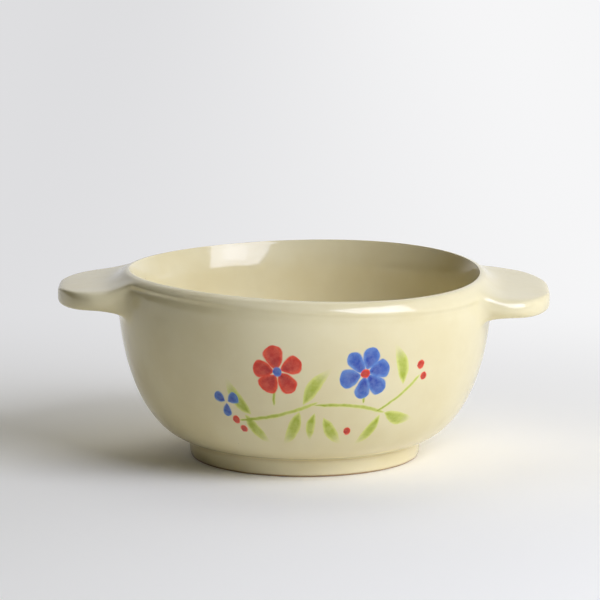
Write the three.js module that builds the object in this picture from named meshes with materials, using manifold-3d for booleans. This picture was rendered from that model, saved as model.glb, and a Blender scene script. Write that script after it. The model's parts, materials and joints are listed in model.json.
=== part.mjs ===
// Onion soup bowl in glazed stoneware: a thrown bowl with a rolled lip, a foot ring and two lug handles.
// Millimetres, +Z up. The origin is the centre of the foot's underside.
// X runs through the lugs, and -Y is the front.
// The bowl is fired as one piece. These are the clay pieces that are joined with slip before the firing.
import * as THREE from "three";
import { mergeVertices } from "three/addons/utils/BufferGeometryUtils.js";
import Module from "manifold-3d";

const wasm = await Module();
wasm.setup();

// Overall sizes
const HEIGHT = 69; // table to the crest of the lip
const RIM_RADIUS = 69; // axis to the widest point of the lip
const LUG_REACH = 90.5; // axis to the tip of a lug

// Thrown bowl
const WALL = 7.6; // thickness of the side, below the flare of the mouth
const FLOOR = 6.2; // thickness of the bottom
const BELLY_ANGLE = 13.4; // degrees above level at which the side leaves the foot
const BELLY_PULL = 24.3; // how far the side keeps that direction
const NECK_ANGLE = 23; // degrees from upright at which the side leans in below the lip
const NECK_PULL = 7.3; // how far down from the lip it keeps that lean
const COVE_RISE = 1.6; // height over which the floor turns up into the side
const MOUTH_LEAN = 18; // degrees from upright at which the inside flares just below the lip
const MOUTH_DEPTH = 16; // how far below the lip the flare starts

// Rolled lip
const LIP_HEIGHT = 5.3; // seat on the side up to the crest
const LIP_WIDTH = 6; // mouth to the widest point, at the seat
const LIP_OVERHANG = 1; // how far the lip stands out over the neck, and the round of its lower edge
const LIP_LEAN = 8; // degrees from upright at which its outer face leaves that edge
const CREST_INSET = 3; // how far the crest lies in from the widest point

// Foot ring
const FOOT_RADIUS = 42.5; // outside, at the table
const FOOT_FLARE = 0.5; // how much wider it is at its top
const FOOT_HEIGHT = 6.5;
const FOOT_WIDTH = 5; // radial width of the ring at the table
const FOOT_TAPER = 1.5; // how much thicker it is inside at its top
const FOOT_EDGE = 1; // rounding of both edges at the table

// Lug handles
const LUG_THICKNESS = 7.7;
const LUG_HALF_WIDTH = 26; // along the side of the bowl, before the root spreads
const LUG_DROP = 5.7; // crest of the lip down to the top of a lug
const LUG_BLUNTNESS = 4; // 2 is an ellipse in plan, more is squarer
const LUG_FLATNESS = 3; // 1 is a lens from edge to edge, more is a flat slab with round edges
const ROOT_SPREAD = 9; // how much wider the root is at each end, along the side
const ROOT_RISE = 4.5; // how far the root climbs towards the lip
const ROOT_RUN = 7; // how far out from the lip the root starts to widen and climb
const ROOT_FILLET = 4; // round under the lug, between it and the side
const ROOT_DEPTH = 4; // how far the lug's blank runs in under the lip before it is cut to the side
const SLIP_JOINT = 0.3; // slip between a lug and the side

// Fineness
const TURN_STEPS = 72; // facets round the axis
const WALL_STEPS = 12; // along the side
const FLARE_STEPS = 4; // inside, in the flare of the mouth
const COVE_STEPS = 3; // inside, between the side and the floor
const LIP_STEPS = 5; // on each face of the lip
const EDGE_STEPS = 3; // round an edge
const LUG_SIDES = 28; // points round a lug's cross-section
const ROOT_STEPS = 7; // cross-sections in the root
const LUG_STEPS = 10; // cross-sections from the root to the tip
const WELD = 1e-4; // points closer than this become one

// Sizes that follow from those above
const neckRadius = RIM_RADIUS - LIP_OVERHANG;
const neckHeight = HEIGHT - LIP_HEIGHT;
const mouthRadius = RIM_RADIUS - LIP_WIDTH;
const mouthLean = THREE.MathUtils.degToRad(MOUTH_LEAN);
const lipLean = THREE.MathUtils.degToRad(LIP_LEAN);
const seatInside = new THREE.Vector2(mouthRadius, neckHeight);
const crest = new THREE.Vector2(RIM_RADIUS - CREST_INSET, HEIGHT);
const footTopRadius = FOOT_RADIUS + FOOT_FLARE;
const floorHeight = FOOT_HEIGHT + FLOOR;
const lugMiddle = HEIGHT - LUG_DROP - LUG_THICKNESS / 2;

const glaze = new THREE.MeshStandardMaterial({ color: 0xe6dfc2, roughness: 0.15, metalness: 0 });
const footGlaze = new THREE.MeshStandardMaterial({ color: 0xddd3b0, roughness: 0.25, metalness: 0 });

// The outside of the side, from the foot up to the neck, as one curve in radius and height.
function sideCurve() {
  const start = new THREE.Vector2(footTopRadius, FOOT_HEIGHT);
  const end = new THREE.Vector2(neckRadius, neckHeight);
  const belly = THREE.MathUtils.degToRad(BELLY_ANGLE);
  const neck = THREE.MathUtils.degToRad(NECK_ANGLE);
  const leave = new THREE.Vector2(Math.cos(belly), Math.sin(belly)).multiplyScalar(BELLY_PULL).add(start);
  const arrive = new THREE.Vector2(Math.sin(neck), -Math.cos(neck)).multiplyScalar(NECK_PULL).add(end);
  return new THREE.CubicBezierCurve(start, leave, arrive, end);
}

// The inside, from the lip's seat down to the floor.
// It is the side's curve moved in by the wall, with a flare at the mouth and a cove at the floor.
function insidePoints() {
  const curve = sideCurve();
  const level = [];
  for (let i = WALL_STEPS; i >= 0; i--) {
    const along = curve.getTangent(i / WALL_STEPS);
    const inward = new THREE.Vector2(-along.y, along.x).multiplyScalar(WALL);
    const point = curve.getPoint(i / WALL_STEPS).add(inward);
    if (point.y < neckHeight - MOUTH_DEPTH && point.y > floorHeight + COVE_RISE) level.push(point);
  }
  return [...flarePoints(level[0], level[1]), ...level, ...covePoints(level.at(-2), level.at(-1))];
}

// The flare of the mouth, from the seat down to the first of two points on the inside of the side.
function flarePoints(first, second) {
  const pull = (neckHeight - first.y) / 3; // an even pull at both ends
  const inAndDown = new THREE.Vector2(-Math.sin(mouthLean), -Math.cos(mouthLean));
  const down = inAndDown.multiplyScalar(pull).add(seatInside);
  const up = first.clone().sub(second).setLength(pull).add(first);
  return new THREE.CubicBezierCurve(seatInside, down, up, first).getPoints(FLARE_STEPS).slice(0, -1);
}

// The cove, from the last of two points on the inside of the side to the level floor.
function covePoints(before, last) {
  const slope = (before.x - last.x) / (before.y - last.y);
  const corner = new THREE.Vector2(last.x - slope * (last.y - floorHeight), floorHeight);
  const flat = new THREE.Vector2(2 * corner.x - last.x, floorHeight);
  return new THREE.QuadraticBezierCurve(last, corner, flat).getPoints(COVE_STEPS).slice(1);
}

// Points of a round, from one angle to another in radians, in radius and height.
function arcPoints(centre, radius, from, to, steps) {
  return Array.from({ length: steps + 1 }, (_, i) => {
    const angle = from + ((to - from) * i) / steps;
    return new THREE.Vector2(centre.x + radius * Math.cos(angle), centre.y + radius * Math.sin(angle));
  });
}

// A solid turned round the Z axis from a profile in radius and height that runs anticlockwise.
function turned(profile) {
  return new THREE.LatheGeometry(profile, TURN_STEPS).rotateX(Math.PI / 2);
}

// A closed geometry as a solid that can be cut.
function solidOf(geometry) {
  const bare = geometry.clone();
  bare.deleteAttribute("normal");
  bare.deleteAttribute("uv");
  const merged = mergeVertices(bare, WELD);
  const mesh = new wasm.Mesh({
    numProp: 3,
    vertProperties: new Float32Array(merged.getAttribute("position").array),
    triVerts: new Uint32Array(merged.index.array),
  });
  return new wasm.Manifold(mesh);
}

// A solid as a geometry with flat-shaded faces.
function geometryOf(solid) {
  const mesh = solid.getMesh();
  const geometry = new THREE.BufferGeometry();
  geometry.setAttribute("position", new THREE.BufferAttribute(mesh.vertProperties, mesh.numProp));
  geometry.setIndex(new THREE.BufferAttribute(mesh.triVerts, 1));
  geometry.computeVertexNormals();
  return geometry;
}

// The outside of the lip, from the neck round its lower edge and up its sloping face to the crest.
function lipOutside() {
  const edgeCentre = new THREE.Vector2(neckRadius, neckHeight + LIP_OVERHANG);
  const edge = arcPoints(edgeCentre, LIP_OVERHANG, -0.5 * Math.PI, lipLean, EDGE_STEPS);
  const top = edge.at(-1);
  const shoulder = new THREE.Vector2(top.x - (HEIGHT - top.y) * Math.tan(lipLean), HEIGHT);
  const face = new THREE.QuadraticBezierCurve(top, shoulder, crest).getPoints(LIP_STEPS);
  return [...edge, ...face.slice(1)];
}

// The inside of the lip, from the crest down to its seat.
function lipInside() {
  const shoulder = new THREE.Vector2(mouthRadius + LIP_HEIGHT * Math.tan(mouthLean), HEIGHT);
  return new THREE.QuadraticBezierCurve(crest, shoulder, seatInside).getPoints(LIP_STEPS);
}

// The thrown bowl: a flat underside, the side, a level seat for the lip, and the inside.
function bowlBody() {
  const axisBelow = new THREE.Vector2(0, FOOT_HEIGHT);
  const axisAbove = new THREE.Vector2(0, floorHeight);
  return turned([axisBelow, ...sideCurve().getPoints(WALL_STEPS), ...insidePoints(), axisAbove]);
}

// The lip: it sits on the level top of the side and overhangs the neck.
function rimRoll() {
  return turned([seatInside, ...lipOutside(), ...lipInside().slice(1)]);
}

// The foot: a ring with a level top for the bowl and rounded edges at the table.
function footRing() {
  const innerBottom = FOOT_RADIUS - FOOT_WIDTH;
  const outerRound = new THREE.Vector2(FOOT_RADIUS - FOOT_EDGE, FOOT_EDGE);
  const innerRound = new THREE.Vector2(innerBottom + FOOT_EDGE, FOOT_EDGE);
  const innerTop = new THREE.Vector2(innerBottom - FOOT_TAPER, FOOT_HEIGHT);
  return turned([
    innerTop,
    ...arcPoints(innerRound, FOOT_EDGE, Math.PI, 1.5 * Math.PI, EDGE_STEPS),
    ...arcPoints(outerRound, FOOT_EDGE, -0.5 * Math.PI, 0, EDGE_STEPS),
    new THREE.Vector2(footTopRadius, FOOT_HEIGHT),
    innerTop,
  ]);
}

// How far a root has widened at a distance out from the lip: a quarter oval of the given run and size.
function rootGrowth(out, run, size) {
  const left = Math.min(1, Math.max(0, 1 - out / run));
  return size * (1 - Math.sqrt(1 - left ** 2));
}

// One cross-section of a lug, on a cylinder of the given radius about the bowl's axis.
// It is a flat bar with round edges, widened close to the side.
function lugSection(radius) {
  const out = Math.max(0, radius - RIM_RADIUS);
  const narrowing = (out / (LUG_REACH - RIM_RADIUS)) ** LUG_BLUNTNESS; // 0 at the lip, 1 at the tip
  const halfWidth = LUG_HALF_WIDTH * Math.sqrt(1 - narrowing) + rootGrowth(out, ROOT_RUN, ROOT_SPREAD);
  const above = LUG_THICKNESS / 2 + rootGrowth(out, ROOT_RUN, ROOT_RISE);
  const below = LUG_THICKNESS / 2 + rootGrowth(out, ROOT_FILLET, ROOT_FILLET);
  return Array.from({ length: LUG_SIDES }, (_, i) => {
    const turn = (2 * Math.PI * i) / LUG_SIDES;
    const across = Math.cos(turn);
    const nearEdge = narrowing + (1 - narrowing) * across ** 2; // 1 all along the lug's outline
    const fullness = Math.sqrt(Math.max(0, 1 - nearEdge ** LUG_FLATNESS));
    const height = lugMiddle + (Math.sin(turn) > 0 ? above : -below) * fullness;
    const angle = (halfWidth * across) / radius;
    return new THREE.Vector3(radius * Math.cos(angle), radius * Math.sin(angle), height);
  });
}

// Radii of a lug's cross-sections: one inside the wall, then closest together by the lip and by the tip.
function lugRadii() {
  const quarterTurn = 0.5 * Math.PI;
  const start = RIM_RADIUS + ROOT_RUN;
  const radii = [RIM_RADIUS - ROOT_DEPTH];
  for (let i = 0; i < ROOT_STEPS; i++) {
    radii.push(RIM_RADIUS + ROOT_RUN * (1 - Math.cos((i / ROOT_STEPS) * quarterTurn)));
  }
  for (let i = 0; i < LUG_STEPS; i++) {
    radii.push(start + (LUG_REACH - start) * Math.sin((i / LUG_STEPS) * quarterTurn));
  }
  return radii;
}

// A lug along +X as a closed skin over its cross-sections, from a flat end in the wall to a point at the tip.
function lugBlank() {
  const radii = lugRadii();
  const points = radii.flatMap(lugSection);
  const rootCentre = points.push(new THREE.Vector3(radii[0], 0, lugMiddle)) - 1;
  const tip = points.push(new THREE.Vector3(LUG_REACH, 0, lugMiddle)) - 1;
  const lastRing = (radii.length - 1) * LUG_SIDES;
  const faces = [];
  for (let j = 0; j < LUG_SIDES; j++) {
    const next = (j + 1) % LUG_SIDES;
    faces.push(rootCentre, next, j);
    for (let ring = 0; ring < lastRing; ring += LUG_SIDES) {
      faces.push(ring + j, ring + next, ring + LUG_SIDES + next);
      faces.push(ring + j, ring + LUG_SIDES + next, ring + LUG_SIDES + j);
    }
    faces.push(lastRing + j, lastRing + next, tip);
  }
  return new THREE.BufferGeometry().setFromPoints(points).setIndex(faces);
}

// The outside of the bowl and lip with the slip joint added, which cuts a lug's root to the side.
function rootCutter() {
  const outside = [...sideCurve().getPoints(WALL_STEPS), ...lipOutside().slice(1)];
  const grown = outside.map((point) => new THREE.Vector2(point.x + SLIP_JOINT, point.y));
  const axisBelow = new THREE.Vector2(0, FOOT_HEIGHT);
  const axisAbove = new THREE.Vector2(0, HEIGHT);
  return turned([axisBelow, ...grown, axisAbove]);
}

function lugHandle() {
  return geometryOf(solidOf(lugBlank()).subtract(solidOf(rootCutter())));
}

function piece(name, geometry, material) {
  const mesh = new THREE.Mesh(geometry, material);
  mesh.name = name;
  return mesh;
}

const bowl = new THREE.Group();
bowl.add(piece("bowl_body", bowlBody(), glaze));
bowl.add(piece("rim_roll", rimRoll(), glaze));
bowl.add(piece("foot_ring", footRing(), footGlaze));

const lug = lugHandle();
const rightLug = piece("right_lug_handle", lug, glaze);
const leftLug = piece("left_lug_handle", lug, glaze);
leftLug.rotation.z = Math.PI;
bowl.add(rightLug, leftLug);

export default bowl;
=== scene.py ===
"""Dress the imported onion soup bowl: glazed stoneware, two lug handles and a painted sprig in front.

Metres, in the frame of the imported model: +Z up, X through the lug handles, -Y towards the front.
The clay is modelled as one skin, so that the lugs flow out of the lip, and is then parted into its
pieces.
"""

import json
import logging
import math
from collections.abc import Callable, Sequence
from dataclasses import dataclass
from enum import Enum
from itertools import groupby
from typing import Any

import bmesh
import bpy
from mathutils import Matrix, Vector

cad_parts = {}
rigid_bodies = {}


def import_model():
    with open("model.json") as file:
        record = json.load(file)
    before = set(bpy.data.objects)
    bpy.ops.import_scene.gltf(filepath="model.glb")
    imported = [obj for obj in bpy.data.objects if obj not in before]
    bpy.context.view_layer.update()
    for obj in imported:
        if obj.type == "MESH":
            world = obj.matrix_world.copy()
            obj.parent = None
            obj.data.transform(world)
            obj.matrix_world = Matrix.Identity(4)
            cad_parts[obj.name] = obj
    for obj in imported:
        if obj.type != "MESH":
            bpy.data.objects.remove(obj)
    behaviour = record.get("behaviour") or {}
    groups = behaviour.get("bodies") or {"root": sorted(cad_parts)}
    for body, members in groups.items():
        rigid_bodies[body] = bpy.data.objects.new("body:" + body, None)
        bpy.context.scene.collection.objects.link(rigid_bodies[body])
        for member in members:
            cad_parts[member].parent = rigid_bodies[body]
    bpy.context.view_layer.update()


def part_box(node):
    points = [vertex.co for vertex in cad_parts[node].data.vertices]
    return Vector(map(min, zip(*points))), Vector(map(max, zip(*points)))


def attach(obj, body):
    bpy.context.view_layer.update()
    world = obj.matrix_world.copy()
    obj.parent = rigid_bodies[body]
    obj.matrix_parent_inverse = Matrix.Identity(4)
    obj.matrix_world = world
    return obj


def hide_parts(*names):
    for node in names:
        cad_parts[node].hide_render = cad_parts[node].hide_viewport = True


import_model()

MM = 0.001
TOUCH = 0.1 * MM  # points closer than this lie on the same ring
LOG = logging.getLogger("onion_soup_bowl")

Colour = tuple[float, float, float, float]
Triple = tuple[float, float, float]
Point = tuple[float, float]  # radius and height, or across and up
Ramp = tuple[float, float]  # where a ramp is 0, and where it is 1


def srgb(*channels: int) -> Colour:
    """Turn a colour as seen on a screen into the linear values that a shader takes.

    Args:
        channels: Red, green and blue, from 0 to 255.

    Returns:
        Linear red, green and blue, and an alpha of 1.
    """
    shares = [channel / 255 for channel in channels]
    linear = [s / 12.92 if s <= 0.04045 else ((s + 0.055) / 1.055) ** 2.4 for s in shares]
    return (*linear, 1.0)


def step_from(place: Point, angle: float, length: float) -> Point:
    """Find the point that is one step away, at an angle in degrees."""
    turn = math.radians(angle)
    return (place[0] + length * math.cos(turn), place[1] + length * math.sin(turn))


def bezier(points: Sequence[Point], share: float) -> Point:
    """Find a point on a Bezier curve of any degree.

    Args:
        points: The curve's control points.
        share: How far along the curve: 0 at its start, 1 at its end.

    Returns:
        The point.
    """
    level = list(points)
    while len(level) > 1:
        level = [
            (a[0] + (b[0] - a[0]) * share, a[1] + (b[1] - a[1]) * share)
            for a, b in zip(level, level[1:])
        ]
    return level[0]


class ClayPiece(Enum):
    """The clay pieces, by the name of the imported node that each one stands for."""

    BODY = "bowl_body"
    LIP = "rim_roll"
    FOOT = "foot_ring"
    LEFT_LUG = "left_lug_handle"
    RIGHT_LUG = "right_lug_handle"

    @property
    def label(self) -> str:
        """Name of the dressed piece."""
        return f"glazed_{self.value}"


@dataclass(frozen=True)
class FootRing:
    """The turned foot, from its inside up under the bowl round to the notch above it."""

    radius: float
    height: float
    width: float = 5 * MM
    taper: float = 1.5 * MM
    flare: float = 0.5 * MM
    edge: float = 1.0 * MM
    corner: float = 0.3 * MM
    notch: float = 0.7 * MM
    shoulder_inset: float = 0.1 * MM
    shoulder_drop: float = 1.54 * MM
    waist: float = 0.4  # share of the height

    @property
    def top(self) -> Point:
        """Radius and height of the foot's upper outside edge."""
        return (self.radius + self.flare, self.height)

    def rings(self) -> list[Point]:
        """List the foot's rings.

        Returns:
            The rings, from the recess under the bowl to the notch.
        """
        inside = self.radius - self.width
        top_inside = inside - self.taper
        waist_height = self.waist * self.height
        return [
            (top_inside - self.notch, self.height - self.corner),
            (top_inside + self.corner, self.height - self.edge),
            (inside - self.waist * self.taper, waist_height),
            (inside, self.edge),
            (inside + self.corner, self.corner),
            (inside + self.edge, 0.0),
            (self.radius - self.edge, 0.0),
            (self.radius - self.corner, self.corner),
            (self.radius, self.edge),
            (self.radius + self.waist * self.flare, waist_height),
            (self.top[0] - self.shoulder_inset, self.height - self.shoulder_drop),
        ]


@dataclass(frozen=True)
class ThrownBody:
    """The thrown bowl: the underside, the rounded side, the inside and the floor."""

    foot: FootRing
    neck: Point
    mouth: Point
    mouth_lean: float
    wall: float = 7.6 * MM
    floor: float = 6.2 * MM
    belly_angle: float = 13.4
    belly_pull: float = 24.3 * MM
    neck_angle: float = 13.0
    neck_pull: float = 9.0 * MM
    cove: float = 9 * MM
    flare_end: float = 0.69  # share of the side

    def side(self, share: float) -> Point:
        """Find a point on the outside of the side.

        Args:
            share: 0 at the foot, 1 at the neck.

        Returns:
            Its radius and height.
        """
        leave = step_from(self.foot.top, self.belly_angle, self.belly_pull)
        arrive = step_from(self.neck, self.neck_angle - 90, self.neck_pull)
        return bezier((self.foot.top, leave, arrive, self.neck), share)

    def inner(self, share: float) -> Point:
        """Find a point on the inside: the side moved in by the wall.

        Args:
            share: 0 at the foot, 1 at the neck.

        Returns:
            Its radius and height.
        """
        step = 0.01
        before, here, after = (self.side(share + move) for move in (-step, 0.0, step))
        along = math.dist(before, after)
        return (
            here[0] - self.wall * (after[1] - before[1]) / along,
            here[1] + self.wall * (after[0] - before[0]) / along,
        )

    def under_rings(self) -> list[Point]:
        """List the rings of the flat underside, from near the axis to the foot."""
        recess = self.foot.radius - self.foot.width - self.foot.taper
        return [(recess * share, self.foot.height) for share in (0.4, 0.75, 0.93)]

    def side_rings(self) -> list[Point]:
        """List the rings of the side.

        Returns:
            The rings, from the notch above the foot to just below the neck.
        """
        start, notch = self.foot.top, self.foot.notch
        shares = (0.05, 0.12, 0.2, 0.3, 0.4, 0.5, 0.6, 0.7, 0.78, 0.86, 0.94)
        return [
            (start[0] + 0.1 * notch, start[1] - 0.7 * notch),
            (start[0] + notch, start[1] + 0.35 * notch),
            *(self.side(share) for share in shares),
        ]

    def inside_rings(self) -> list[Point]:
        """List the rings of the inside.

        Returns:
            The rings, from the mouth down to near the middle of the floor.
        """
        mouth, step = self.mouth, 0.03
        below, further = self.inner(self.flare_end), self.inner(self.flare_end - step)
        pull = (mouth[1] - below[1]) / 3
        down = step_from(mouth, -90 - self.mouth_lean, pull)
        up = bezier((further, below), 1 + pull / math.dist(further, below))
        flare = [bezier((mouth, down, up, below), share) for share in (0, 0.25, 0.5, 0.75)]
        level = [below] + [self.inner(share) for share in (0.6, 0.5, 0.4, 0.31, 0.23)]
        last, before = level[-1], level[-2]
        floor_height = self.foot.height + self.floor
        reach = (last[1] - floor_height) * (before[0] - last[0]) / (before[1] - last[1])
        corner = (last[0] - reach, floor_height)
        flat = (corner[0] - self.cove, floor_height)
        cove = [bezier((last, corner, flat), share) for share in (0.25, 0.5, 0.75, 1.0)]
        middle = [(flat[0] * share, floor_height) for share in (0.7, 0.35)]
        return flare + level + cove + middle


@dataclass(frozen=True)
class RolledLip:
    """The lip: a quarter round of clay over a soft groove, flared a little on the inside."""

    radius: float
    crest_height: float
    seat_height: float
    width: float = 6.6 * MM
    crest_inset: float = 4.2 * MM
    brow_drop: float = 5.6 * MM
    groove_depth: float = 0.65 * MM
    groove_rise: float = 0.4 * MM
    groove_push: float = 0.35 * MM
    groove_tilt: float = 1.55
    groove_spread: float = 5 * MM
    mouth_lean: float = 21.0

    @property
    def neck(self) -> Point:
        """Radius and height of the groove under the roll."""
        return (self.radius - self.groove_depth, self.seat_height + self.groove_rise)

    @property
    def mouth(self) -> Point:
        """Radius and height of the lip's lower inside edge."""
        return (self.radius - self.width, self.seat_height)

    def rings(self) -> list[Point]:
        """List the lip's rings.

        Returns:
            The rings, from the groove over the crest to just above the mouth.
        """
        brow = self.crest_height - self.brow_drop
        middle = self.radius - self.crest_inset
        outer = [
            (middle + self.crest_inset * math.cos(turn), brow + self.brow_drop * math.sin(turn))
            for turn in map(math.radians, (22, 40, 58, 75, 90))
        ]
        crest, mouth = outer[-1], self.mouth
        flare = (crest[1] - mouth[1]) * math.tan(math.radians(self.mouth_lean))
        bend = (crest, (mouth[0] + flare, crest[1]), mouth)
        return [self.neck, *outer, *(bezier(bend, share) for share in (0.2, 0.45, 0.72))]


class Element(Enum):
    """What is selected in edit mode: Blender's name for it, and for its list in a mesh."""

    POINT = ("VERT", "verts")
    EDGE = ("EDGE", "edges")
    FACE = ("FACE", "faces")


def add(operator: Callable[..., Any], name: str, **settings: Any) -> bpy.types.Object:
    """Add an object while nothing else is selected.

    Args:
        operator: Blender's operator for that kind of object.
        name: The object's name.
        settings: The operator's settings.

    Returns:
        The object.
    """
    bpy.ops.object.select_all(action="DESELECT")
    operator(**settings)
    bpy.context.active_object.name = name
    return bpy.context.active_object


def select_only(shape: bpy.types.Object) -> None:
    """Make one object the only selected one and the active one.

    Args:
        shape: The object.
    """
    bpy.ops.object.select_all(action="DESELECT")
    shape.select_set(True)
    bpy.context.view_layer.objects.active = shape


def select_where(shape: bpy.types.Object, kind: Element, wanted: Callable[[Any], bool]) -> None:
    """Select some points, edges or faces, and nothing else.

    Args:
        shape: The object, in edit mode.
        kind: What to select.
        wanted: Says whether one is wanted.
    """
    mode, listed = kind.value
    bpy.ops.mesh.select_mode(type=mode)
    bpy.ops.mesh.select_all(action="DESELECT")
    mesh = bmesh.from_edit_mesh(shape.data)
    elements = getattr(mesh, listed)
    elements.index_update()
    for element in elements:
        if wanted(element):
            element.select = True
    mesh.select_flush_mode()
    bmesh.update_edit_mesh(shape.data)


def selected_points(shape: bpy.types.Object) -> dict[int, Vector]:
    """Find the selected points.

    Args:
        shape: The object, in edit mode.

    Returns:
        The place of each one, by its number.
    """
    mesh = bmesh.from_edit_mesh(shape.data)
    mesh.verts.index_update()
    return {point.index: point.co.copy() for point in mesh.verts if point.select}


def leave_edit() -> None:
    """Turn all faces outwards and leave edit mode."""
    bpy.ops.mesh.select_all(action="SELECT")
    bpy.ops.mesh.normals_make_consistent(inside=False)
    bpy.ops.object.mode_set(mode="OBJECT")


class ClayCage:
    """A mesh shaped in edit mode, ring by ring, as a potter's wheel and hands would."""

    def __init__(self, name: str, sides: int, first: Point) -> None:
        """Add the first ring, filled to the axis, and go into edit mode.

        Args:
            name: Name of the object.
            sides: Points in each ring.
            first: Radius and height of the first ring.
        """
        radius, height = first
        # Subdividing draws a ring in, so each ring starts wider by this much.
        self.grow = 3 / (2 + math.cos(2 * math.pi / sides))
        self.shape = add(
            bpy.ops.mesh.primitive_circle_add, name, fill_type="TRIFAN",
            vertices=sides, radius=radius * self.grow, location=(0.0, 0.0, height),
        )
        bpy.ops.object.transform_apply(location=True, rotation=True, scale=True)
        bpy.ops.object.mode_set(mode="EDIT")
        select_where(self.shape, Element.POINT, lambda point: point.co.xy.length > radius / 2)

    def pull_ring(self, before: Point, after: Point) -> None:
        """Pull the selected ring out into a new one.

        Args:
            before: Radius and height of the selected ring.
            after: Radius and height of the new ring.
        """
        bpy.ops.mesh.extrude_edges_move(
            TRANSFORM_OT_translate={"value": (0.0, 0.0, after[1] - before[1])},
        )
        widen = after[0] / before[0]
        bpy.ops.transform.resize(value=(widen, widen, 1.0), center_override=(0.0, 0.0, after[1]))

    def close_on_axis(self) -> None:
        """Draw the selected ring in to one point on the axis."""
        bpy.ops.mesh.extrude_edges_move(TRANSFORM_OT_translate={"value": (0.0, 0.0, 0.0)})
        bpy.ops.mesh.merge(type="CENTER")

    def tilt_ring(self, ring: Point, push: float, tilt: float, spread: float) -> None:
        """Push one ring to the right and raise it on the left, and draw its neighbours along.

        Args:
            ring: Its radius and height.
            push: How far it moves.
            tilt: How far it turns, in degrees.
            spread: How far its pull reaches.
        """
        def on_ring(point: bmesh.types.BMVert) -> bool:
            """Say whether a point lies on the ring."""
            off = point.co.xy.length - ring[0] * self.grow
            return math.hypot(off, point.co.z - ring[1]) < TOUCH

        select_where(self.shape, Element.POINT, on_ring)
        soft = {"use_proportional_edit": True, "proportional_size": spread}
        bpy.ops.transform.translate(value=(push, 0.0, 0.0), **soft)
        bpy.ops.transform.rotate(
            value=-math.radians(tilt), orient_axis="Y", center_override=(0.0, 0.0, ring[1]), **soft,
        )

    def assign_pieces(self, piece_at: Callable[[Vector], ClayPiece]) -> None:
        """Give every face the material slot of its piece.

        Args:
            piece_at: Finds the piece at a face's middle.
        """
        slots = list(ClayPiece)
        mesh = bmesh.from_edit_mesh(self.shape.data)
        for face in mesh.faces:
            face.material_index = slots.index(piece_at(face.calc_center_median()))
        bmesh.update_edit_mesh(self.shape.data)

    def assign_selected(self, piece: ClayPiece) -> None:
        """Give the selected faces the material slot of a piece."""
        self.shape.active_material_index = list(ClayPiece).index(piece)
        bpy.ops.object.material_slot_assign()

    def fit_selection(self, low: Vector, high: Vector) -> None:
        """Stretch and move the selected points so that they fill a box.

        Args:
            low: The box's lowest corner.
            high: The box's highest corner.
        """
        axes = list(zip(*selected_points(self.shape).values()))
        lowest, highest = (Vector([pick(axis) for axis in axes]) for pick in (min, max))
        middle = (lowest + highest) / 2
        spans = zip(high - low, highest - lowest)
        factors = [wanted / now if now > TOUCH else 1.0 for wanted, now in spans]
        bpy.ops.transform.resize(value=factors, center_override=middle)
        bpy.ops.transform.translate(value=(low + high) / 2 - middle)


@dataclass(frozen=True)
class LugStation:
    """One ring of a lug's cage: how far out it stands, its width and its two heights."""

    reach: float
    half_width: float
    low: float
    high: float
    bow: float


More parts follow.
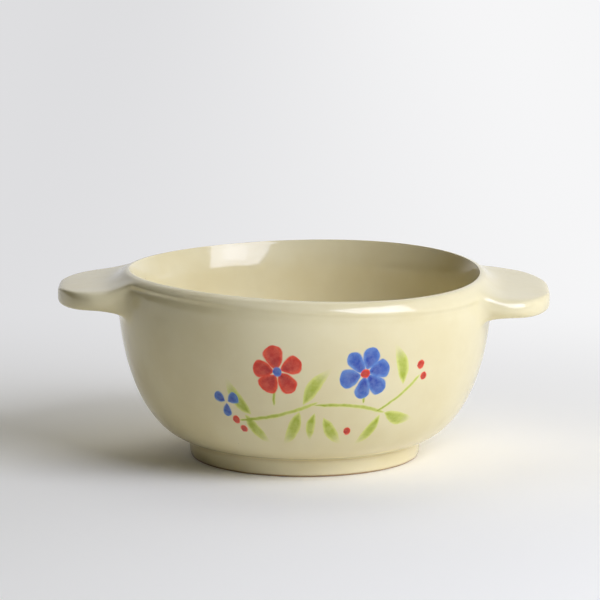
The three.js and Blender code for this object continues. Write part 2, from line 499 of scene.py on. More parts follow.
@dataclass(frozen=True)
class LugHandle:
    """A flat lug that grows out of the lip on one side."""

    piece: ClayPiece
    outward: int
    reach: float
    root_radius: float
    sag: float = 0.0
    root_angle: float = 22.6
    root_low: float = 53.0 * MM
    root_high: float = 67.0 * MM
    edge_turn: float = 75.0
    edge_radius: float = 3.4 * MM
    pitch: float = 2.9

    def stations(self) -> list[LugStation]:
        """List the rings of the lug's cage.

        Returns:
            The rings, from the root to the tip.
        """
        millimetres = (  # back from the reach, half width, lowest, highest, bow
            (18.6, 26.6, 56.6, 65.2, 1.9),
            (15.4, 26.0, 57.4, 64.3, 0.0),
            (11.0, 24.6, 57.2, 63.95, 0.0),
            (6.6, 21.4, 56.95, 63.6, 0.0),
            (2.8, 15.4, 56.8, 63.3, 0.0),
            (0.2, 9.0, 57.2, 62.8, 0.0),
            (-0.4, 5.0, 58.3, 61.7, 0.0),
        )
        return [
            LugStation(self.reach - back * MM, *(size * MM for size in sizes))
            for back, *sizes in millimetres
        ]

    def grow(self, cage: ClayCage) -> None:
        """Pull the lug out of the bowl's side and mark its faces.

        Args:
            cage: The thrown bowl, in edit mode.
        """
        def in_root(face: bmesh.types.BMFace) -> bool:
            """Say whether a face is one that the lug grows from."""
            middle = face.calc_center_median()
            angle = math.degrees(math.atan2(middle.y, self.outward * middle.x))
            outside = middle.xy.length > self.root_radius
            beside = abs(angle) < self.root_angle
            return outside and beside and self.root_low < middle.z < self.root_high

        select_where(cage.shape, Element.FACE, in_root)
        stations = self.stations()
        for station in stations:
            bpy.ops.mesh.extrude_region_move(
                TRANSFORM_OT_translate={"value": (self.outward * MM, 0.0, 0.0)},
            )
            near = self.outward * (station.reach - station.bow)
            far = self.outward * station.reach
            cage.fit_selection(
                Vector((min(near, far), -station.half_width, station.low - self.sag)),
                Vector((max(near, far), station.half_width, station.high)),
            )
            if station is stations[0]:
                self.round_edges(cage, station)
        for _ in stations[1:]:
            bpy.ops.mesh.select_more()
        pivot = (0.0, 0.0, (stations[0].low + stations[0].high) / 2)
        bpy.ops.transform.rotate(
            value=-math.radians(self.pitch), orient_axis="X", center_override=pivot,
        )
        bpy.ops.mesh.select_more()
        cage.assign_selected(self.piece)

    def round_edges(self, cage: ClayCage, station: LugStation) -> None:
        """Set the rows of the first ring so that the lug's edge is upright with rounded corners.

        Args:
            cage: The bowl, with that ring selected.
            station: The ring.
        """
        places = selected_points(cage.shape)
        rows: list[list[int]] = []
        for number in sorted(places, key=lambda number: places[number].z):
            if not rows or places[number].z - places[rows[-1][0]].z > TOUCH:
                rows.append([])
            rows[-1].append(number)
        middle = (station.low + station.high) / 2
        half = (station.high - station.low) / 2
        for count, row in enumerate(rows):
            level = places[row[0]].z
            turn = math.radians(self.edge_turn * (2 * count / (len(rows) - 1) - 1))
            wide = station.half_width - self.edge_radius * (1 - math.cos(turn))
            now = max(abs(places[number].y) for number in row)
            rise = middle + half * math.sin(turn) - level
            select_where(cage.shape, Element.POINT, lambda point: point.index in row)
            bpy.ops.transform.resize(
                value=(1.0, wide / now, 1.0), center_override=(0.0, 0.0, level),
            )
            bpy.ops.transform.translate(value=(0.0, 0.0, rise))
        select_where(cage.shape, Element.POINT, lambda point: point.index in places)
        bpy.ops.mesh.select_mode(type="FACE")


@dataclass(frozen=True)
class KilnWarp:
    """The rim's slight warp: one diagonal rises, the other sinks, and the right leans."""

    lift: float = 3.3 * MM
    lean: float = 0.9 * MM
    span: Triple = (190 * MM, 150 * MM, 70 * MM)

    def apply(self, shape: bpy.types.Object) -> None:
        """Bend a mesh with a lattice whose top corners are moved, and apply it.

        Args:
            shape: The bowl.
        """
        middle = (0.0, 0.0, self.span[2] / 2)
        lattice = add(bpy.ops.object.add, "warp_lattice", type="LATTICE", location=middle)
        lattice.scale = self.span
        for axis in "uvw":
            setattr(lattice.data, f"interpolation_type_{axis}", "KEY_LINEAR")
        for point in lattice.data.points:
            if point.co.z > 0:
                saddle = math.copysign(self.lift, point.co.x * point.co.y)
                lean = math.copysign(self.lean, point.co.x)
                point.co_deform.z += (saddle - lean) / self.span[2]
        bpy.context.view_layer.update()
        select_only(shape)
        bend = shape.modifiers.new("kiln_warp", "LATTICE")
        bend.object = lattice
        bpy.ops.object.modifier_apply(modifier=bend.name)
        select_only(lattice)
        bpy.ops.object.delete()


def cage_through(wanted: Sequence[Point], rounds: int = 24) -> list[Point]:
    """Move a profile out so that a subdivided cage passes through its points.

    Args:
        wanted: The points that the finished surface passes through.
        rounds: How often the cage is corrected.

    Returns:
        Radius and height of each ring of the cage.
    """
    cage = list(wanted)
    for _ in range(rounds):
        for i in range(1, len(cage) - 1):
            smooth = [(cage[i - 1][k] + 4 * cage[i][k] + cage[i + 1][k]) / 6 for k in (0, 1)]
            cage[i] = tuple(cage[i][k] + wanted[i][k] - smooth[k] for k in (0, 1))
    return cage


class OnionSoupBowl:
    """The whole bowl: thrown as one skin, parted into its clay pieces and glazed."""

    sides = 64
    fineness = 2
    right_lug_short = 0.5 * MM
    right_lug_sag = 0.3 * MM

    def __init__(self) -> None:
        """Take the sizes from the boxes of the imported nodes."""
        lip_low, lip_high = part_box(ClayPiece.LIP.value)
        foot_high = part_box(ClayPiece.FOOT.value)[1]
        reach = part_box(ClayPiece.RIGHT_LUG.value)[1][0]
        lip = self.lip = RolledLip(lip_high[0], lip_high[2], lip_low[2])
        self.foot = FootRing(foot_high[0] - FootRing.flare, foot_high[2])
        self.body = ThrownBody(self.foot, lip.neck, lip.mouth, lip.mouth_lean)
        root = lip.radius - lip.width / 2
        short = reach - self.right_lug_short
        self.lugs = [
            LugHandle(ClayPiece.RIGHT_LUG, 1, short, root, self.right_lug_sag),
            LugHandle(ClayPiece.LEFT_LUG, -1, reach, root),
        ]
        self.warp = KilnWarp()
        self.pieces: dict[ClayPiece, bpy.types.Object] = {}

    def profile(self) -> list[tuple[Point, ClayPiece]]:
        """List the profile's rings, from the underside over the lip to the floor inside.

        Returns:
            Each ring, and the piece that the strip after it belongs to.
        """
        sections = (
            (self.body.under_rings(), ClayPiece.BODY),
            (self.foot.rings(), ClayPiece.FOOT),
            (self.body.side_rings(), ClayPiece.BODY),
            (self.lip.rings(), ClayPiece.LIP),
            (self.body.inside_rings(), ClayPiece.BODY),
        )
        return [(ring, piece) for rings, piece in sections for ring in rings]

    def throw(self) -> bpy.types.Object:
        """Model the clay as one skin.

        Returns:
            The subdivided and warped skin, with a material slot for each piece.
        """
        wanted, pieces = zip(*self.profile())
        rings = cage_through(wanted)
        cage = ClayCage("clay", self.sides, rings[0])
        for before, after in zip(rings, rings[1:]):
            cage.pull_ring(before, after)
        cage.close_on_axis()
        for piece in ClayPiece:
            cage.shape.data.materials.append(bpy.data.materials.new(piece.label))
        strips = [(bezier((a, b), 0.5), piece) for piece, a, b in zip(pieces, rings, rings[1:])]

        def piece_at(middle: Vector) -> ClayPiece:
            """Find the piece of the strip that is nearest to a face's middle."""
            radius = middle.xy.length
            if radius < rings[-1][0]:
                return ClayPiece.BODY
            return min(strips, key=lambda strip: math.dist(strip[0], (radius, middle.z)))[1]

        cage.assign_pieces(piece_at)
        for lug in self.lugs:
            lug.grow(cage)
        lip = self.lip
        groove = rings[pieces.index(ClayPiece.LIP)]
        cage.tilt_ring(groove, lip.groove_push, lip.groove_tilt, lip.groove_spread)
        leave_edit()
        bpy.ops.object.shade_smooth()
        finer = cage.shape.modifiers.new("finer", "SUBSURF")
        finer.levels = finer.render_levels = self.fineness
        bpy.ops.object.modifier_apply(modifier=finer.name)
        self.warp.apply(cage.shape)
        return cage.shape

    def part(self, skin: bpy.types.Object) -> None:
        """Part the skin into closed pieces that keep its smooth shading across the joins.

        Args:
            skin: The skin, with a material slot for each piece.
        """
        select_only(skin)
        smooth = skin.data.attributes.new("skin_normal", "FLOAT_VECTOR", "POINT")
        smooth.data.foreach_set(
            "vector", [value for point in skin.data.vertices for value in point.normal],
        )
        bpy.ops.object.mode_set(mode="EDIT")
        bpy.ops.mesh.select_all(action="SELECT")
        bpy.ops.mesh.separate(type="MATERIAL")
        bpy.ops.object.mode_set(mode="OBJECT")
        labels = {piece.label: piece for piece in ClayPiece}
        for shape in list(bpy.context.selected_objects):
            piece = labels[shape.data.materials[0].name]
            shape.name = shape.data.name = piece.label
            self.pieces[piece] = shape
        for shape in self.pieces.values():
            close_joins(shape)

    def dress(self, finishes: dict[ClayPiece, Sequence[bpy.types.Material]]) -> None:
        """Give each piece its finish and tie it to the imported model.

        Args:
            finishes: The materials of each piece: the outside's first, the inside's last.
        """
        for piece, shape in self.pieces.items():
            shape.data.materials.clear()
            for material in finishes[piece]:
                shape.data.materials.append(material)
            for face in shape.data.polygons:
                outside = face.normal.xy.dot(face.center.xy) > 0
                face.material_index = 0 if outside else len(finishes[piece]) - 1
            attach(shape, "root")
            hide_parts(piece.value)


def close_joins(shape: bpy.types.Object) -> None:
    """Close the open edges where a piece was parted, and shade the rest as the skin was shaded.

    Args:
        shape: The parted piece, with the skin's normals in an attribute.
    """
    select_only(shape)
    skin_faces = len(shape.data.polygons)
    bpy.ops.object.mode_set(mode="EDIT")
    for loops in open_loops(shape):
        numbers = set().union(*loops)
        select_where(shape, Element.EDGE, lambda edge: edge.index in numbers)
        if len(loops) == 2:
            bpy.ops.mesh.bridge_edge_loops()
        else:
            bpy.ops.mesh.edge_face_add()
    leave_edit()
    mesh = shape.data
    normals = [Vector((0.0, 0.0, 0.0))] * len(mesh.loops)  # zero leaves a corner as it is
    kept = mesh.attributes["skin_normal"].data
    for face in mesh.polygons:
        if face.index >= skin_faces:
            face.use_smooth = False
            continue
        for corner in face.loop_indices:
            normals[corner] = kept[mesh.loops[corner].vertex_index].vector.copy()
    mesh.normals_split_custom_set(normals)
    mesh.attributes.remove(mesh.attributes["skin_normal"])


def open_loops(shape: bpy.types.Object) -> list[list[list[int]]]:
    """Group the open edges into loops, and pair the loops that one join closes.

    Args:
        shape: The piece, in edit mode.

    Returns:
        For each join, its one or two loops, each a list of edge numbers.
    """
    off_axis = 5 * MM
    mesh = bmesh.from_edit_mesh(shape.data)
    mesh.edges.index_update()
    left = {edge for edge in mesh.edges if edge.is_boundary}
    loops: list[tuple[float, float, list[int]]] = []
    while left:
        chain = [left.pop()]
        for edge in chain:
            joined = {other for point in edge.verts for other in point.link_edges if other in left}
            left -= joined
            chain.extend(joined)
        points = {point for edge in chain for point in edge.verts}
        middle = sum((point.co for point in points), Vector()) / len(points)
        loops.append((middle.z, middle.xy.length, [edge.index for edge in chain]))
    loops.sort(key=lambda loop: loop[0])
    round_axis = [edges for _, radius, edges in loops if radius < off_axis]
    aside = [[edges] for _, radius, edges in loops if radius >= off_axis]
    return [round_axis[i:i + 2] for i in range(0, len(round_axis), 2)] + aside


class Wire:
    """A shader socket that adds Math nodes when it is used in a Python expression."""

    def __init__(self, bench: "ShaderBench", socket: bpy.types.NodeSocket) -> None:
        """Wrap a node's output."""
        self.bench = bench
        self.socket = socket

    def twin(self, output: str) -> "Wire":
        """Another output of the same node."""
        return Wire(self.bench, self.socket.node.outputs[output])

    def __add__(self, other: "Wire | float") -> "Wire":
        """Sum."""
        return self.bench.math("ADD", self, other)

    __radd__ = __add__

    def __mul__(self, other: "Wire | float") -> "Wire":
        """Product."""
        return self.bench.math("MULTIPLY", self, other)

    __rmul__ = __mul__

    def __sub__(self, other: "Wire | float") -> "Wire":
        """Difference."""
        return self.bench.math("SUBTRACT", self, other)

    def __rsub__(self, other: float) -> "Wire":
        """Difference from a number."""
        return self.bench.math("SUBTRACT", other, self)

    def __pow__(self, other: float) -> "Wire":
        """Power."""
        return self.bench.math("POWER", self, other)

    def __abs__(self) -> "Wire":
        """Size without the sign."""
        return self.bench.math("ABSOLUTE", self)

    def most(self, other: "Wire | float") -> "Wire":
        """Larger of two values."""
        return self.bench.math("MAXIMUM", self, other)

    def ramp(self, low: float, high: float) -> "Wire":
        """Rise smoothly from 0 at one value to 1 at another, which may be the lower one."""
        sockets = {"Value": self, "From Min": low, "From Max": high}
        return self.bench.node("ShaderNodeMapRange", {"interpolation_type": "SMOOTHSTEP"}, sockets)


class ShaderBench:
    """A material's or world's node tree, cleared and ready to be filled."""

    def __init__(self, owner: bpy.types.Material | bpy.types.World) -> None:
        """Take over the tree of a material or a world.

        Args:
            owner: The material or world.
        """
        owner.use_nodes = True
        self.tree = owner.node_tree
        self.tree.nodes.clear()

    def node(
        self,
        kind: str,
        settings: dict[str, Any] | None = None,
        sockets: dict[str | int, Any] | None = None,
        output: str | int = 0,
    ) -> Wire | None:
        """Add a node.

        Args:
            kind: The node's type.
            settings: Its own settings, set first.
            sockets: Values or wires of its inputs, by number, identifier or name.
            output: Number, identifier or name of the output to return.

        Returns:
            That output, or nothing where the node has none.
        """
        made = self.tree.nodes.new(kind)
        for name, value in (settings or {}).items():
            setattr(made, name, value)
        for key, value in (sockets or {}).items():
            socket = self.find(made.inputs, key)
            if isinstance(value, Wire):
                self.tree.links.new(value.socket, socket)
            else:
                socket.default_value = value
        return Wire(self, self.find(made.outputs, output)) if len(made.outputs) else None

    @staticmethod
    def find(sockets: Any, key: str | int) -> bpy.types.NodeSocket:
        """Find a socket by its number, identifier or name."""
        exact = (socket for socket in sockets if socket.identifier == key)
        return next(exact, None) or sockets[key]

    def math(self, operation: str, *values: Wire | float) -> Wire:
        """Add a Math node."""
        return self.node("ShaderNodeMath", {"operation": operation}, dict(enumerate(values)))

    def distance(self, first: Wire, second: Wire) -> Wire:
        """Find how far apart two points are, from the two steps between them."""
        return self.math("SQRT", first * first + second * second)

    def vector(self, operation: str, *values: Wire | Triple, output: str = "Vector") -> Wire:
        """Add a Vector Math node."""
        settings = {"operation": operation}
        return self.node("ShaderNodeVectorMath", settings, dict(enumerate(values)), output)

    def mix(self, factor: Wire | float, first: Wire | Colour, second: Wire | Colour) -> Wire:
        """Mix two colours."""
        sockets = {"Factor_Float": factor, "A_Color": first, "B_Color": second}
        return self.node("ShaderNodeMix", {"data_type": "RGBA"}, sockets, "Result_Color")

    def noise(self, place: Wire, scale: float, detail: float, roughness: float = 0.5) -> Wire:
        """Add even noise, from about 0 to 1."""
        sockets = {"Vector": place, "Scale": scale, "Detail": detail, "Roughness": roughness}
        return self.node("ShaderNodeTexNoise", None, sockets)

    def place(self) -> Wire:
        """Add the place on the object, in metres."""
        return self.node("ShaderNodeTexCoord", None, None, "Object")

    def axes(self, vector: Wire) -> tuple[Wire, Wire, Wire]:
        """Split a vector into its three values."""
        first = self.node("ShaderNodeSeparateXYZ", None, {0: vector})
        return first, first.twin("Y"), first.twin("Z")


class Pigment(Enum):
    """The underglaze colours: a thin wash of each, and the colour where the brush left more."""

    GREEN = (srgb(218, 220, 114), srgb(160, 174, 36))
    RED = (srgb(234, 58, 10), srgb(172, 6, 2))
    BLUE = (srgb(82, 130, 196), srgb(8, 44, 150))


@dataclass(frozen=True)
class Stroke:
    """One touch of the brush, in millimetres round and up the side from the sprig's middle."""

    pigment: Pigment
    across: float
    up: float
    turn: float
    length: float
    width: float
    bend: float = 0.0
    skew: float = 0.0
    blunt: float = 2.0
    fade: float = 0.1


@dataclass(frozen=True)
class Blossom:
    """A flower of brushed petals, placed as a stroke is."""

    pigment: Pigment
    across: float
    up: float
    petals: int
    length: float
    width: float
    turn: float
    spread: float = 0.62
    petal_skew: float = 0.4
    petal_blunt: float = 3.0
    turn_stray: float = 7.0
    reach_stray: float = 0.06
    length_stray: float = 0.1
    width_stray: float = 0.12
    bend_stray: float = 0.2

    def strokes(self) -> list[Stroke]:
        """List the flower's petals, each a little off the even flower.

        Returns:
            One stroke for each petal.
        """
        strokes = []
        for number in range(self.petals):
            even = self.turn + 360 * number / self.petals
            turn = even + self.turn_stray * math.sin(5 * number + self.turn)
            stray = 1 + self.reach_stray * math.cos(3 * number + self.turn)
            strokes.append(Stroke(
                self.pigment,
                *step_from((self.across, self.up), turn, self.spread * self.length * stray),
                turn,
                length=self.length * (1 + self.length_stray * math.sin(2 * number + self.turn)),
                width=self.width * (1 + self.width_stray * math.sin(4 * number)),
                bend=self.bend_stray * math.sin(3 * number),
                skew=self.petal_skew,
                blunt=self.petal_blunt,
            ))
        return strokes


@dataclass(frozen=True)
class PaintedSprig:
    """A spray of flowers painted on the front under the glaze."""

    radius: float
    centre_across: float = 9.0
    centre_up: float = 35.0
    softness: float = 0.35
    wobble: float = 1.2
    wobble_scale: float = 190.0
    streak_scale: float = 420.0
    streak_ramp: Ramp = (0.3, 0.7)
    streak_depth: float = 0.3
    cover_least: float = 0.84
    cover_streak: float = 0.25
    stem_blunt: float = 8.0
    leaf_skew: float = -0.35
    dot_blunt: float = 3.0
    narrowest: float = 0.1
    depth_rise: float = 0.6
    depth_middle: float = 0.65
    depth_slope: float = 0.35

    def strokes(self) -> list[Stroke]:
        """List every touch of the brush.

        Returns:
            The strokes, the lowest first.
        """
        green, red, blue = Pigment.GREEN, Pigment.RED, Pigment.BLUE
        stems = (
            (-20, -6.5, 14, 34, 1.3, -2.2, 0.1),
            (9, -6, -8, 30, 1.3, 2.4, 0.1),
            (28, -1, 36, 22, 1.2, -1.8, 0.1),
            (-20, 1.5, 82, 11, 1.1, 0.6),
            (13, 0.5, 98, 9, 1.1, -0.5),
        )
        leaves = (  # the last value is how far the leaf fades
            (-35, -1, 122, 17, 4.6, 0.5, 1.0),
            (-28, -14, -50, 15, 4.2, -0.5, 0.9),
            (-15, -13.5, -118, 16, 4.8, 0.5, 0.9),
            (-4, 3.5, 52, 18, 4.8, 0.55, 1.0),
            (-6, -13, -98, 12, 3.4, -0.4, 0.8),
            (3, -14.5, -52, 15, 4.4, -0.5, 0.9),
            (17, -15, -125, 15, 4.4, 0.5, 0.9),
            (31, -10, -14, 16, 4.6, -0.5, 0.9),
            (27, 10.5, 108, 17, 4.6, -0.5, 1.0),
        )
        berries = (
            (-37, -10.5, 20, 3.4, 3.2),
            (-34.5, -14, 60, 3.0, 3.0),
            (8.5, -14.5, 20, 3.2, 3.0),
            (36.5, 9, 20, 3.4, 3.2),
            (38.5, 4.5, 70, 3.0, 3.0),
        )
        blossoms = (
            Blossom(red, -19, 9, 5, 8.6, 6.6, 96),
            Blossom(blue, 13.5, 7.5, 6, 9.0, 6.0, 75),
            Blossom(blue, -40, -4, 3, 5.0, 3.6, 150),
        )
        hearts = ((blue, -19, 9, 0, 3.6, 3.4), (red, 13.5, 7.5, 0, 3.6, 3.4))
        return [
            *(Stroke(green, *stem, blunt=self.stem_blunt) for stem in stems),
            *(Stroke(green, *leaf, skew=self.leaf_skew, fade=fade) for *leaf, fade in leaves),
            *(Stroke(red, *berry, blunt=self.dot_blunt) for berry in berries),
            *(petal for blossom in blossoms for petal in blossom.strokes()),
            *(Stroke(*heart, blunt=self.dot_blunt) for heart in hearts),
        ]

    def paint(self, bench: ShaderBench, place: Wire, ground: Wire) -> Wire:
        """Paint the strokes over a colour.

        Args:
            bench: The material's tree.
            place: The place on the bowl.
            ground: The colour under the paint.

        Returns:
            The painted colour.
        """
        x, y, z = bench.axes(place)
        round_side = bench.math("ARCTAN2", x, 0 - y) * (self.radius / MM) - self.centre_across
        up_side = z * (1 / MM) - self.centre_up
        flat = bench.node("ShaderNodeCombineXYZ", None, {0: round_side, 1: up_side})
        shake = bench.noise(place, self.wobble_scale, detail=3.0).twin("Color")
        size, back = (self.wobble,) * 3, (-self.wobble / 2,) * 3
        hand = bench.vector("ADD", flat, bench.vector("MULTIPLY_ADD", shake, size, back))
        streaks = bench.noise(place, self.streak_scale, detail=4.0, roughness=0.6)
        uneven = (streaks.ramp(*self.streak_ramp) - 0.5) * self.streak_depth
        hold = streaks * self.cover_streak + self.cover_least
        colour = ground
        for pigment, run in groupby(self.strokes(), key=lambda stroke: stroke.pigment):
            (cover, depth), *touches = (self.touch(bench, hand, stroke) for stroke in run)
            for more, deeper in touches:
                cover = cover.most(more)
                depth = depth + deeper
            thin, thick = pigment.value
            ink = bench.mix(depth + uneven, thin, thick)
            colour = bench.mix(cover * hold, colour, ink)
        return colour

    def touch(self, bench: ShaderBench, hand: Wire, stroke: Stroke) -> tuple[Wire, Wire]:
        """Find where one stroke covers the side.

        Args:
            bench: The material's tree.
            hand: The place on the side, in millimetres.
            stroke: The stroke.

        Returns:
            How far it covers, and how much colour lies there, both from 0 to 1.
        """
        local = bench.node("ShaderNodeMapping", {"vector_type": "TEXTURE"}, {
            "Vector": hand,
            "Location": (stroke.across, stroke.up, 0.0),
            "Rotation": (0.0, 0.0, math.radians(stroke.turn)),
            "Scale": (stroke.length / 2, stroke.width / 2, 1.0),
        })
        along, aside, _ = bench.axes(local)
        bent = aside - (1 - along * along) * stroke.bend if stroke.bend else aside
        breadth = (1 - abs(along) ** stroke.blunt) * (along * stroke.skew + 1).most(self.narrowest)
        soft = 2 * self.softness / stroke.width
        inside = breadth - abs(bent)
        cover = inside.ramp(-soft, soft) * (1 - along).ramp(0.0, stroke.fade)
        laid = self.depth_middle - along * self.depth_slope
        return cover, inside.ramp(0.0, self.depth_rise) * laid


@dataclass(frozen=True)
class StonewareGlaze:
    """A glossy cream glaze over buff stoneware, warmer where it pools."""

    name: str
    cream: Colour = srgb(232, 220, 174)
    warm: Colour = srgb(227, 213, 163)
    pooled: Colour = srgb(202, 180, 122)
    speck: Colour = srgb(96, 70, 44)
    bare: Colour = srgb(176, 142, 98)
    bare_below: float = 0.0
    bare_blur: float = 0.3 * MM
    bare_stray: float = 0.8 * MM
    bare_roughness: float = 0.55
    cloud_scale: float = 38.0
    cloud_ramp: Ramp = (0.35, 0.72)
    pool_reach: float = 1.8 * MM
    pool_stray: float = 1.0 * MM
    pool_strength: float = 0.3
    speck_scale: float = 85.0
    speck_ramp: Ramp = (0.03, 0.012)
    speck_rarity: Ramp = (0.955, 0.965)
    speck_strength: float = 0.8
    ripple_scale: float = 60.0
    pit_scale: float = 420.0
    pit_share: float = 0.08
    ripple_height: float = 0.2 * MM
    roughness: float = 0.1
    roughness_stray: float = 0.04
    sheen: float = 0.3
    sheen_roughness: float = 0.45

    def material(
        self, pools: Sequence[Point], sprig: PaintedSprig | None = None,
    ) -> bpy.types.Material:
        """Make the glaze's material.

        Args:
            pools: Radius and height of each groove round the outside that the glaze runs into.
            sprig: What is painted under the glaze, if anything.

        Returns:
            The material.
        """
        material = bpy.data.materials.new(self.name)
        bench = ShaderBench(material)
        place = bench.place()
        x, y, height = bench.axes(place)
        radius = bench.distance(x, y)
        cloud = bench.noise(place, self.cloud_scale, detail=4.0, roughness=0.55)
        stray = cloud - 0.5
        colour = bench.mix(cloud.ramp(*self.cloud_ramp), self.cream, self.warm)
        for pool_radius, pool_height in pools:
            off = bench.distance(radius - pool_radius, height - pool_height)
            near = (off + stray * self.pool_stray).ramp(self.pool_reach, 0.0)
            colour = bench.mix(near * self.pool_strength, colour, self.pooled)
        spots = bench.node(
            "ShaderNodeTexVoronoi", None, {"Vector": place, "Scale": self.speck_scale}, "Distance",
        )
        chance = bench.axes(spots.twin("Color"))[0]
        rare = chance.ramp(*self.speck_rarity)
        speck = spots.ramp(*self.speck_ramp) * rare
        colour = bench.mix(speck * self.speck_strength, colour, self.speck)
        if sprig:
            colour = sprig.paint(bench, place, colour)
        gloss = stray * self.roughness_stray + self.roughness
        if self.bare_below:
            edge = height + stray * self.bare_stray
            bare = edge.ramp(self.bare_below + self.bare_blur, self.bare_below - self.bare_blur)
            colour = bench.mix(bare, colour, self.bare)
            gloss = gloss + bare * self.bare_roughness
        pits = bench.noise(place, self.pit_scale, detail=1.0)
        ripple = bench.noise(place, self.ripple_scale, detail=2.0) + pits * self.pit_share
        relief = bench.node("ShaderNodeBump", None, {
            "Strength": 1.0, "Distance": self.ripple_height, "Height": ripple,
        }, "Normal")
        surface = bench.node("ShaderNodeBsdfPrincipled", None, {
            "Base Color": colour, "Roughness": gloss, "Normal": relief, "IOR": 1.5,
            "Coat Weight": self.sheen, "Coat Roughness": self.sheen_roughness,
        })
        bench.node("ShaderNodeOutputMaterial", None, {"Surface": surface})
        return material


def stand(target: Triple, azimuth: float, elevation: float, distance: float) -> dict[str, Any]:
    """Find where a lamp or camera that faces a target stands, and how it is turned.

    Args:
        target: What it faces.
        azimuth: Degrees from the front towards the right.
        elevation: Degrees above the table.
        distance: How far it stands from the target.

    Returns:
        Its location and rotation.
    """
    turn, rise = math.radians(azimuth), math.radians(elevation)
    level = math.cos(rise)
    away = Vector((math.sin(turn) * level, -math.cos(turn) * level, math.sin(rise)))
    rotation = (-away).to_track_quat("-Z", "Y").to_euler()
    return {"location": Vector(target) + away * distance, "rotation": rotation}


@dataclass(frozen=True)
class SoftLamp:
    """A soft box that faces the bowl."""

    name: str
    azimuth: float
    elevation: float
    distance: float
    width: float
    height: float
    power: float
    colour: Triple = (1.0, 1.0, 1.0)

    def hang(self, target: Triple) -> None:
        """Hang the lamp.

        Args:
            target: What it faces.
        """
        place = stand(target, self.azimuth, self.elevation, self.distance)
        lamp = add(bpy.ops.object.light_add, self.name, type="AREA", **place)
        lamp.data.shape = "RECTANGLE"
        lamp.data.size = self.width
        lamp.data.size_y = self.height
        lamp.data.energy = self.power
        lamp.data.color = self.colour


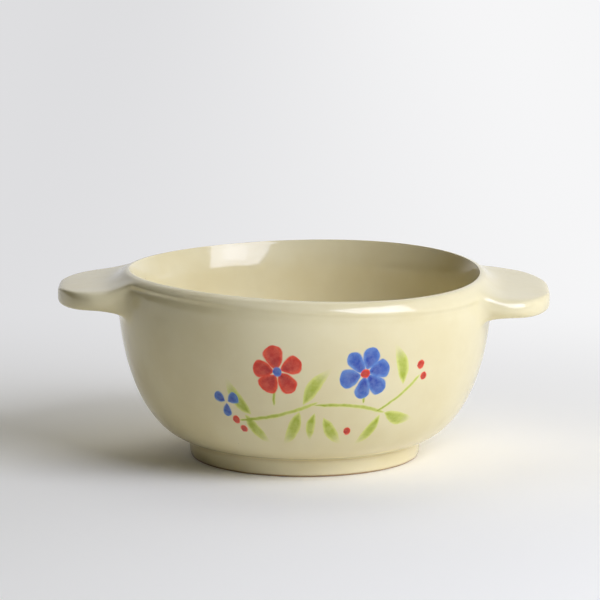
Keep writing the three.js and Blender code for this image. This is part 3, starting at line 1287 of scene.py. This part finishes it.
@dataclass(frozen=True)
class Studio:
    """A pale table top, soft light from the right and the camera."""

    floor_size: float = 12.0
    # Painted light: the backdrop runs from a darker paper on the left to a lighter one on the right,
    # as the lamps on the right light it.
    paper: Colour = srgb(253, 250, 236)
    shaded_left_paper: Colour = srgb(222, 222, 224)
    lit_right_paper: Colour = srgb(246, 246, 247)
    table_sweep: float = 0.16
    room_sweep: float = 0.1
    fade_round: Ramp = (0.25, 0.7)
    fade_back: Ramp = (-0.06, 0.3)
    backdrop_rise: Ramp = (0.6, 0.9)
    glow_towards: Triple = (0.5, 0.87, 0.0)
    glow_colour: Colour = (1.0, 0.97, 0.9, 1.0)
    glow_strength: float = 0.74
    cool: Triple = (0.95, 1.0, 1.25)
    lamp_target: Triple = (0.0, 0.0, 0.04)
    sensor: float = 36.0
    lens: float = 243.5
    distance: float = 1.5
    elevation: float = 10.5
    aim: Triple = (-0.00168, 0.0, 0.05741)

    def lamps(self) -> list[SoftLamp]:
        """List the lamps: a large soft box, its brighter middle, and a wide dim panel overhead."""
        return [
            SoftLamp("soft_box", 52, 34, 1.1, 0.78, 0.8, 11.0, self.cool),
            SoftLamp("soft_box_middle", 54, 34, 1.09, 0.34, 0.36, 0.8, self.cool),
            SoftLamp("top_panel", 195, 66, 1.2, 0.9, 0.6, 1.7),
        ]

    def painted_light_sweep(self, bench: ShaderBench, across: Wire, reach: float) -> Wire:
        """Paint the paper darker on the left and lighter on the right, as painted light from the
        lamps on the right.
        """
        return bench.mix(across.ramp(-reach, reach), self.shaded_left_paper, self.lit_right_paper)

    @staticmethod
    def seen(bench: ShaderBench) -> Wire:
        """Say whether the camera, a reflection or a see-through piece looks, rather than light."""
        camera = bench.node("ShaderNodeLightPath", output="Is Camera Ray")
        return camera.most(camera.twin("Is Glossy Ray")).most(camera.twin("Is Transmission Ray"))

    def lay_floor(self) -> None:
        """Lay the table top; away from the bowl it fades into a painted backdrop, which lightens part
        of the shadow.
        """
        floor = add(bpy.ops.mesh.primitive_plane_add, "table_top", size=self.floor_size)
        material = bpy.data.materials.new("pale_paper")
        bench = ShaderBench(material)
        x, y, _ = bench.axes(bench.place())
        away = bench.distance(x, y).ramp(*self.fade_round).most(y.ramp(*self.fade_back))
        matt = bench.node("ShaderNodeBsdfDiffuse", None, {"Color": self.paper})
        # Painted light: the far table glows darker on the left and lighter on the right. The glow
        # starts near the bowl, so it lightens part of the real shadow.
        paper = self.painted_light_sweep(bench, x, self.table_sweep)
        even = bench.node("ShaderNodeEmission", None, {"Color": paper})
        share = away * self.seen(bench)
        mixed = bench.node("ShaderNodeMixShader", None, {0: share, 1: matt, 2: even})
        bench.node("ShaderNodeOutputMaterial", None, {"Surface": mixed})
        floor.data.materials.append(material)

    def light(self) -> None:
        """Set the glow from the back of the room, the backdrop and the lamps."""
        world = bpy.data.worlds.new("room")
        bpy.context.scene.world = world
        bench = ShaderBench(world)
        way = bench.node("ShaderNodeTexCoord", None, None, "Generated")
        facing = bench.vector("DOT_PRODUCT", way, self.glow_towards, output="Value")
        room = bench.node("ShaderNodeBackground", None, {
            "Color": self.glow_colour, "Strength": facing.most(0.0) * self.glow_strength,
        })
        across, behind, _ = bench.axes(way)
        # Painted light: the backdrop is darker on the left and lighter on the right.
        paper = self.painted_light_sweep(bench, across, self.room_sweep)
        backdrop = bench.node("ShaderNodeBackground", None, {"Color": paper})
        share = behind.ramp(*self.backdrop_rise) * self.seen(bench)
        mixed = bench.node("ShaderNodeMixShader", None, {0: share, 1: room, 2: backdrop})
        bench.node("ShaderNodeOutputWorld", None, {"Surface": mixed})
        for lamp in self.lamps():
            lamp.hang(self.lamp_target)

    def set_camera(self) -> None:
        """Set the camera at the photograph's viewing angle."""
        place = stand(self.aim, 0.0, self.elevation, self.distance)
        camera = add(bpy.ops.object.camera_add, "camera", **place)
        camera.data.sensor_width = self.sensor
        camera.data.lens = self.lens
        bpy.context.scene.camera = camera


def main() -> None:
    """Build the bowl and its studio in order, and report each piece."""
    logging.basicConfig(level=logging.INFO, format="%(name)s %(message)s")
    bpy.context.scene.view_settings.view_transform = "Standard"
    studio = Studio()
    studio.lay_floor()
    studio.light()
    studio.set_camera()

    bowl = OnionSoupBowl()
    bowl.part(bowl.throw())
    pools = [bowl.foot.top]
    plain = StonewareGlaze("cream_glaze").material([])
    painted = StonewareGlaze("painted_cream_glaze").material(pools, PaintedSprig(bowl.lip.radius))
    # Painted light: the foot's glaze is a lighter copy of the body's cream, which makes up for the
    # shade under the belly.
    foot = StonewareGlaze(
        "foot_glaze", cream=srgb(240, 228, 183), warm=srgb(236, 222, 173), bare_below=0.6 * MM,
    ).material(pools)
    bowl.dress({
        ClayPiece.BODY: [painted, plain],
        ClayPiece.LIP: [plain],
        ClayPiece.FOOT: [foot],
        ClayPiece.LEFT_LUG: [plain],
        ClayPiece.RIGHT_LUG: [plain],
    })
    for shape in bowl.pieces.values():
        LOG.info("%s: %d faces", shape.name, len(shape.data.polygons))


if __name__ == "__main__":
    main()
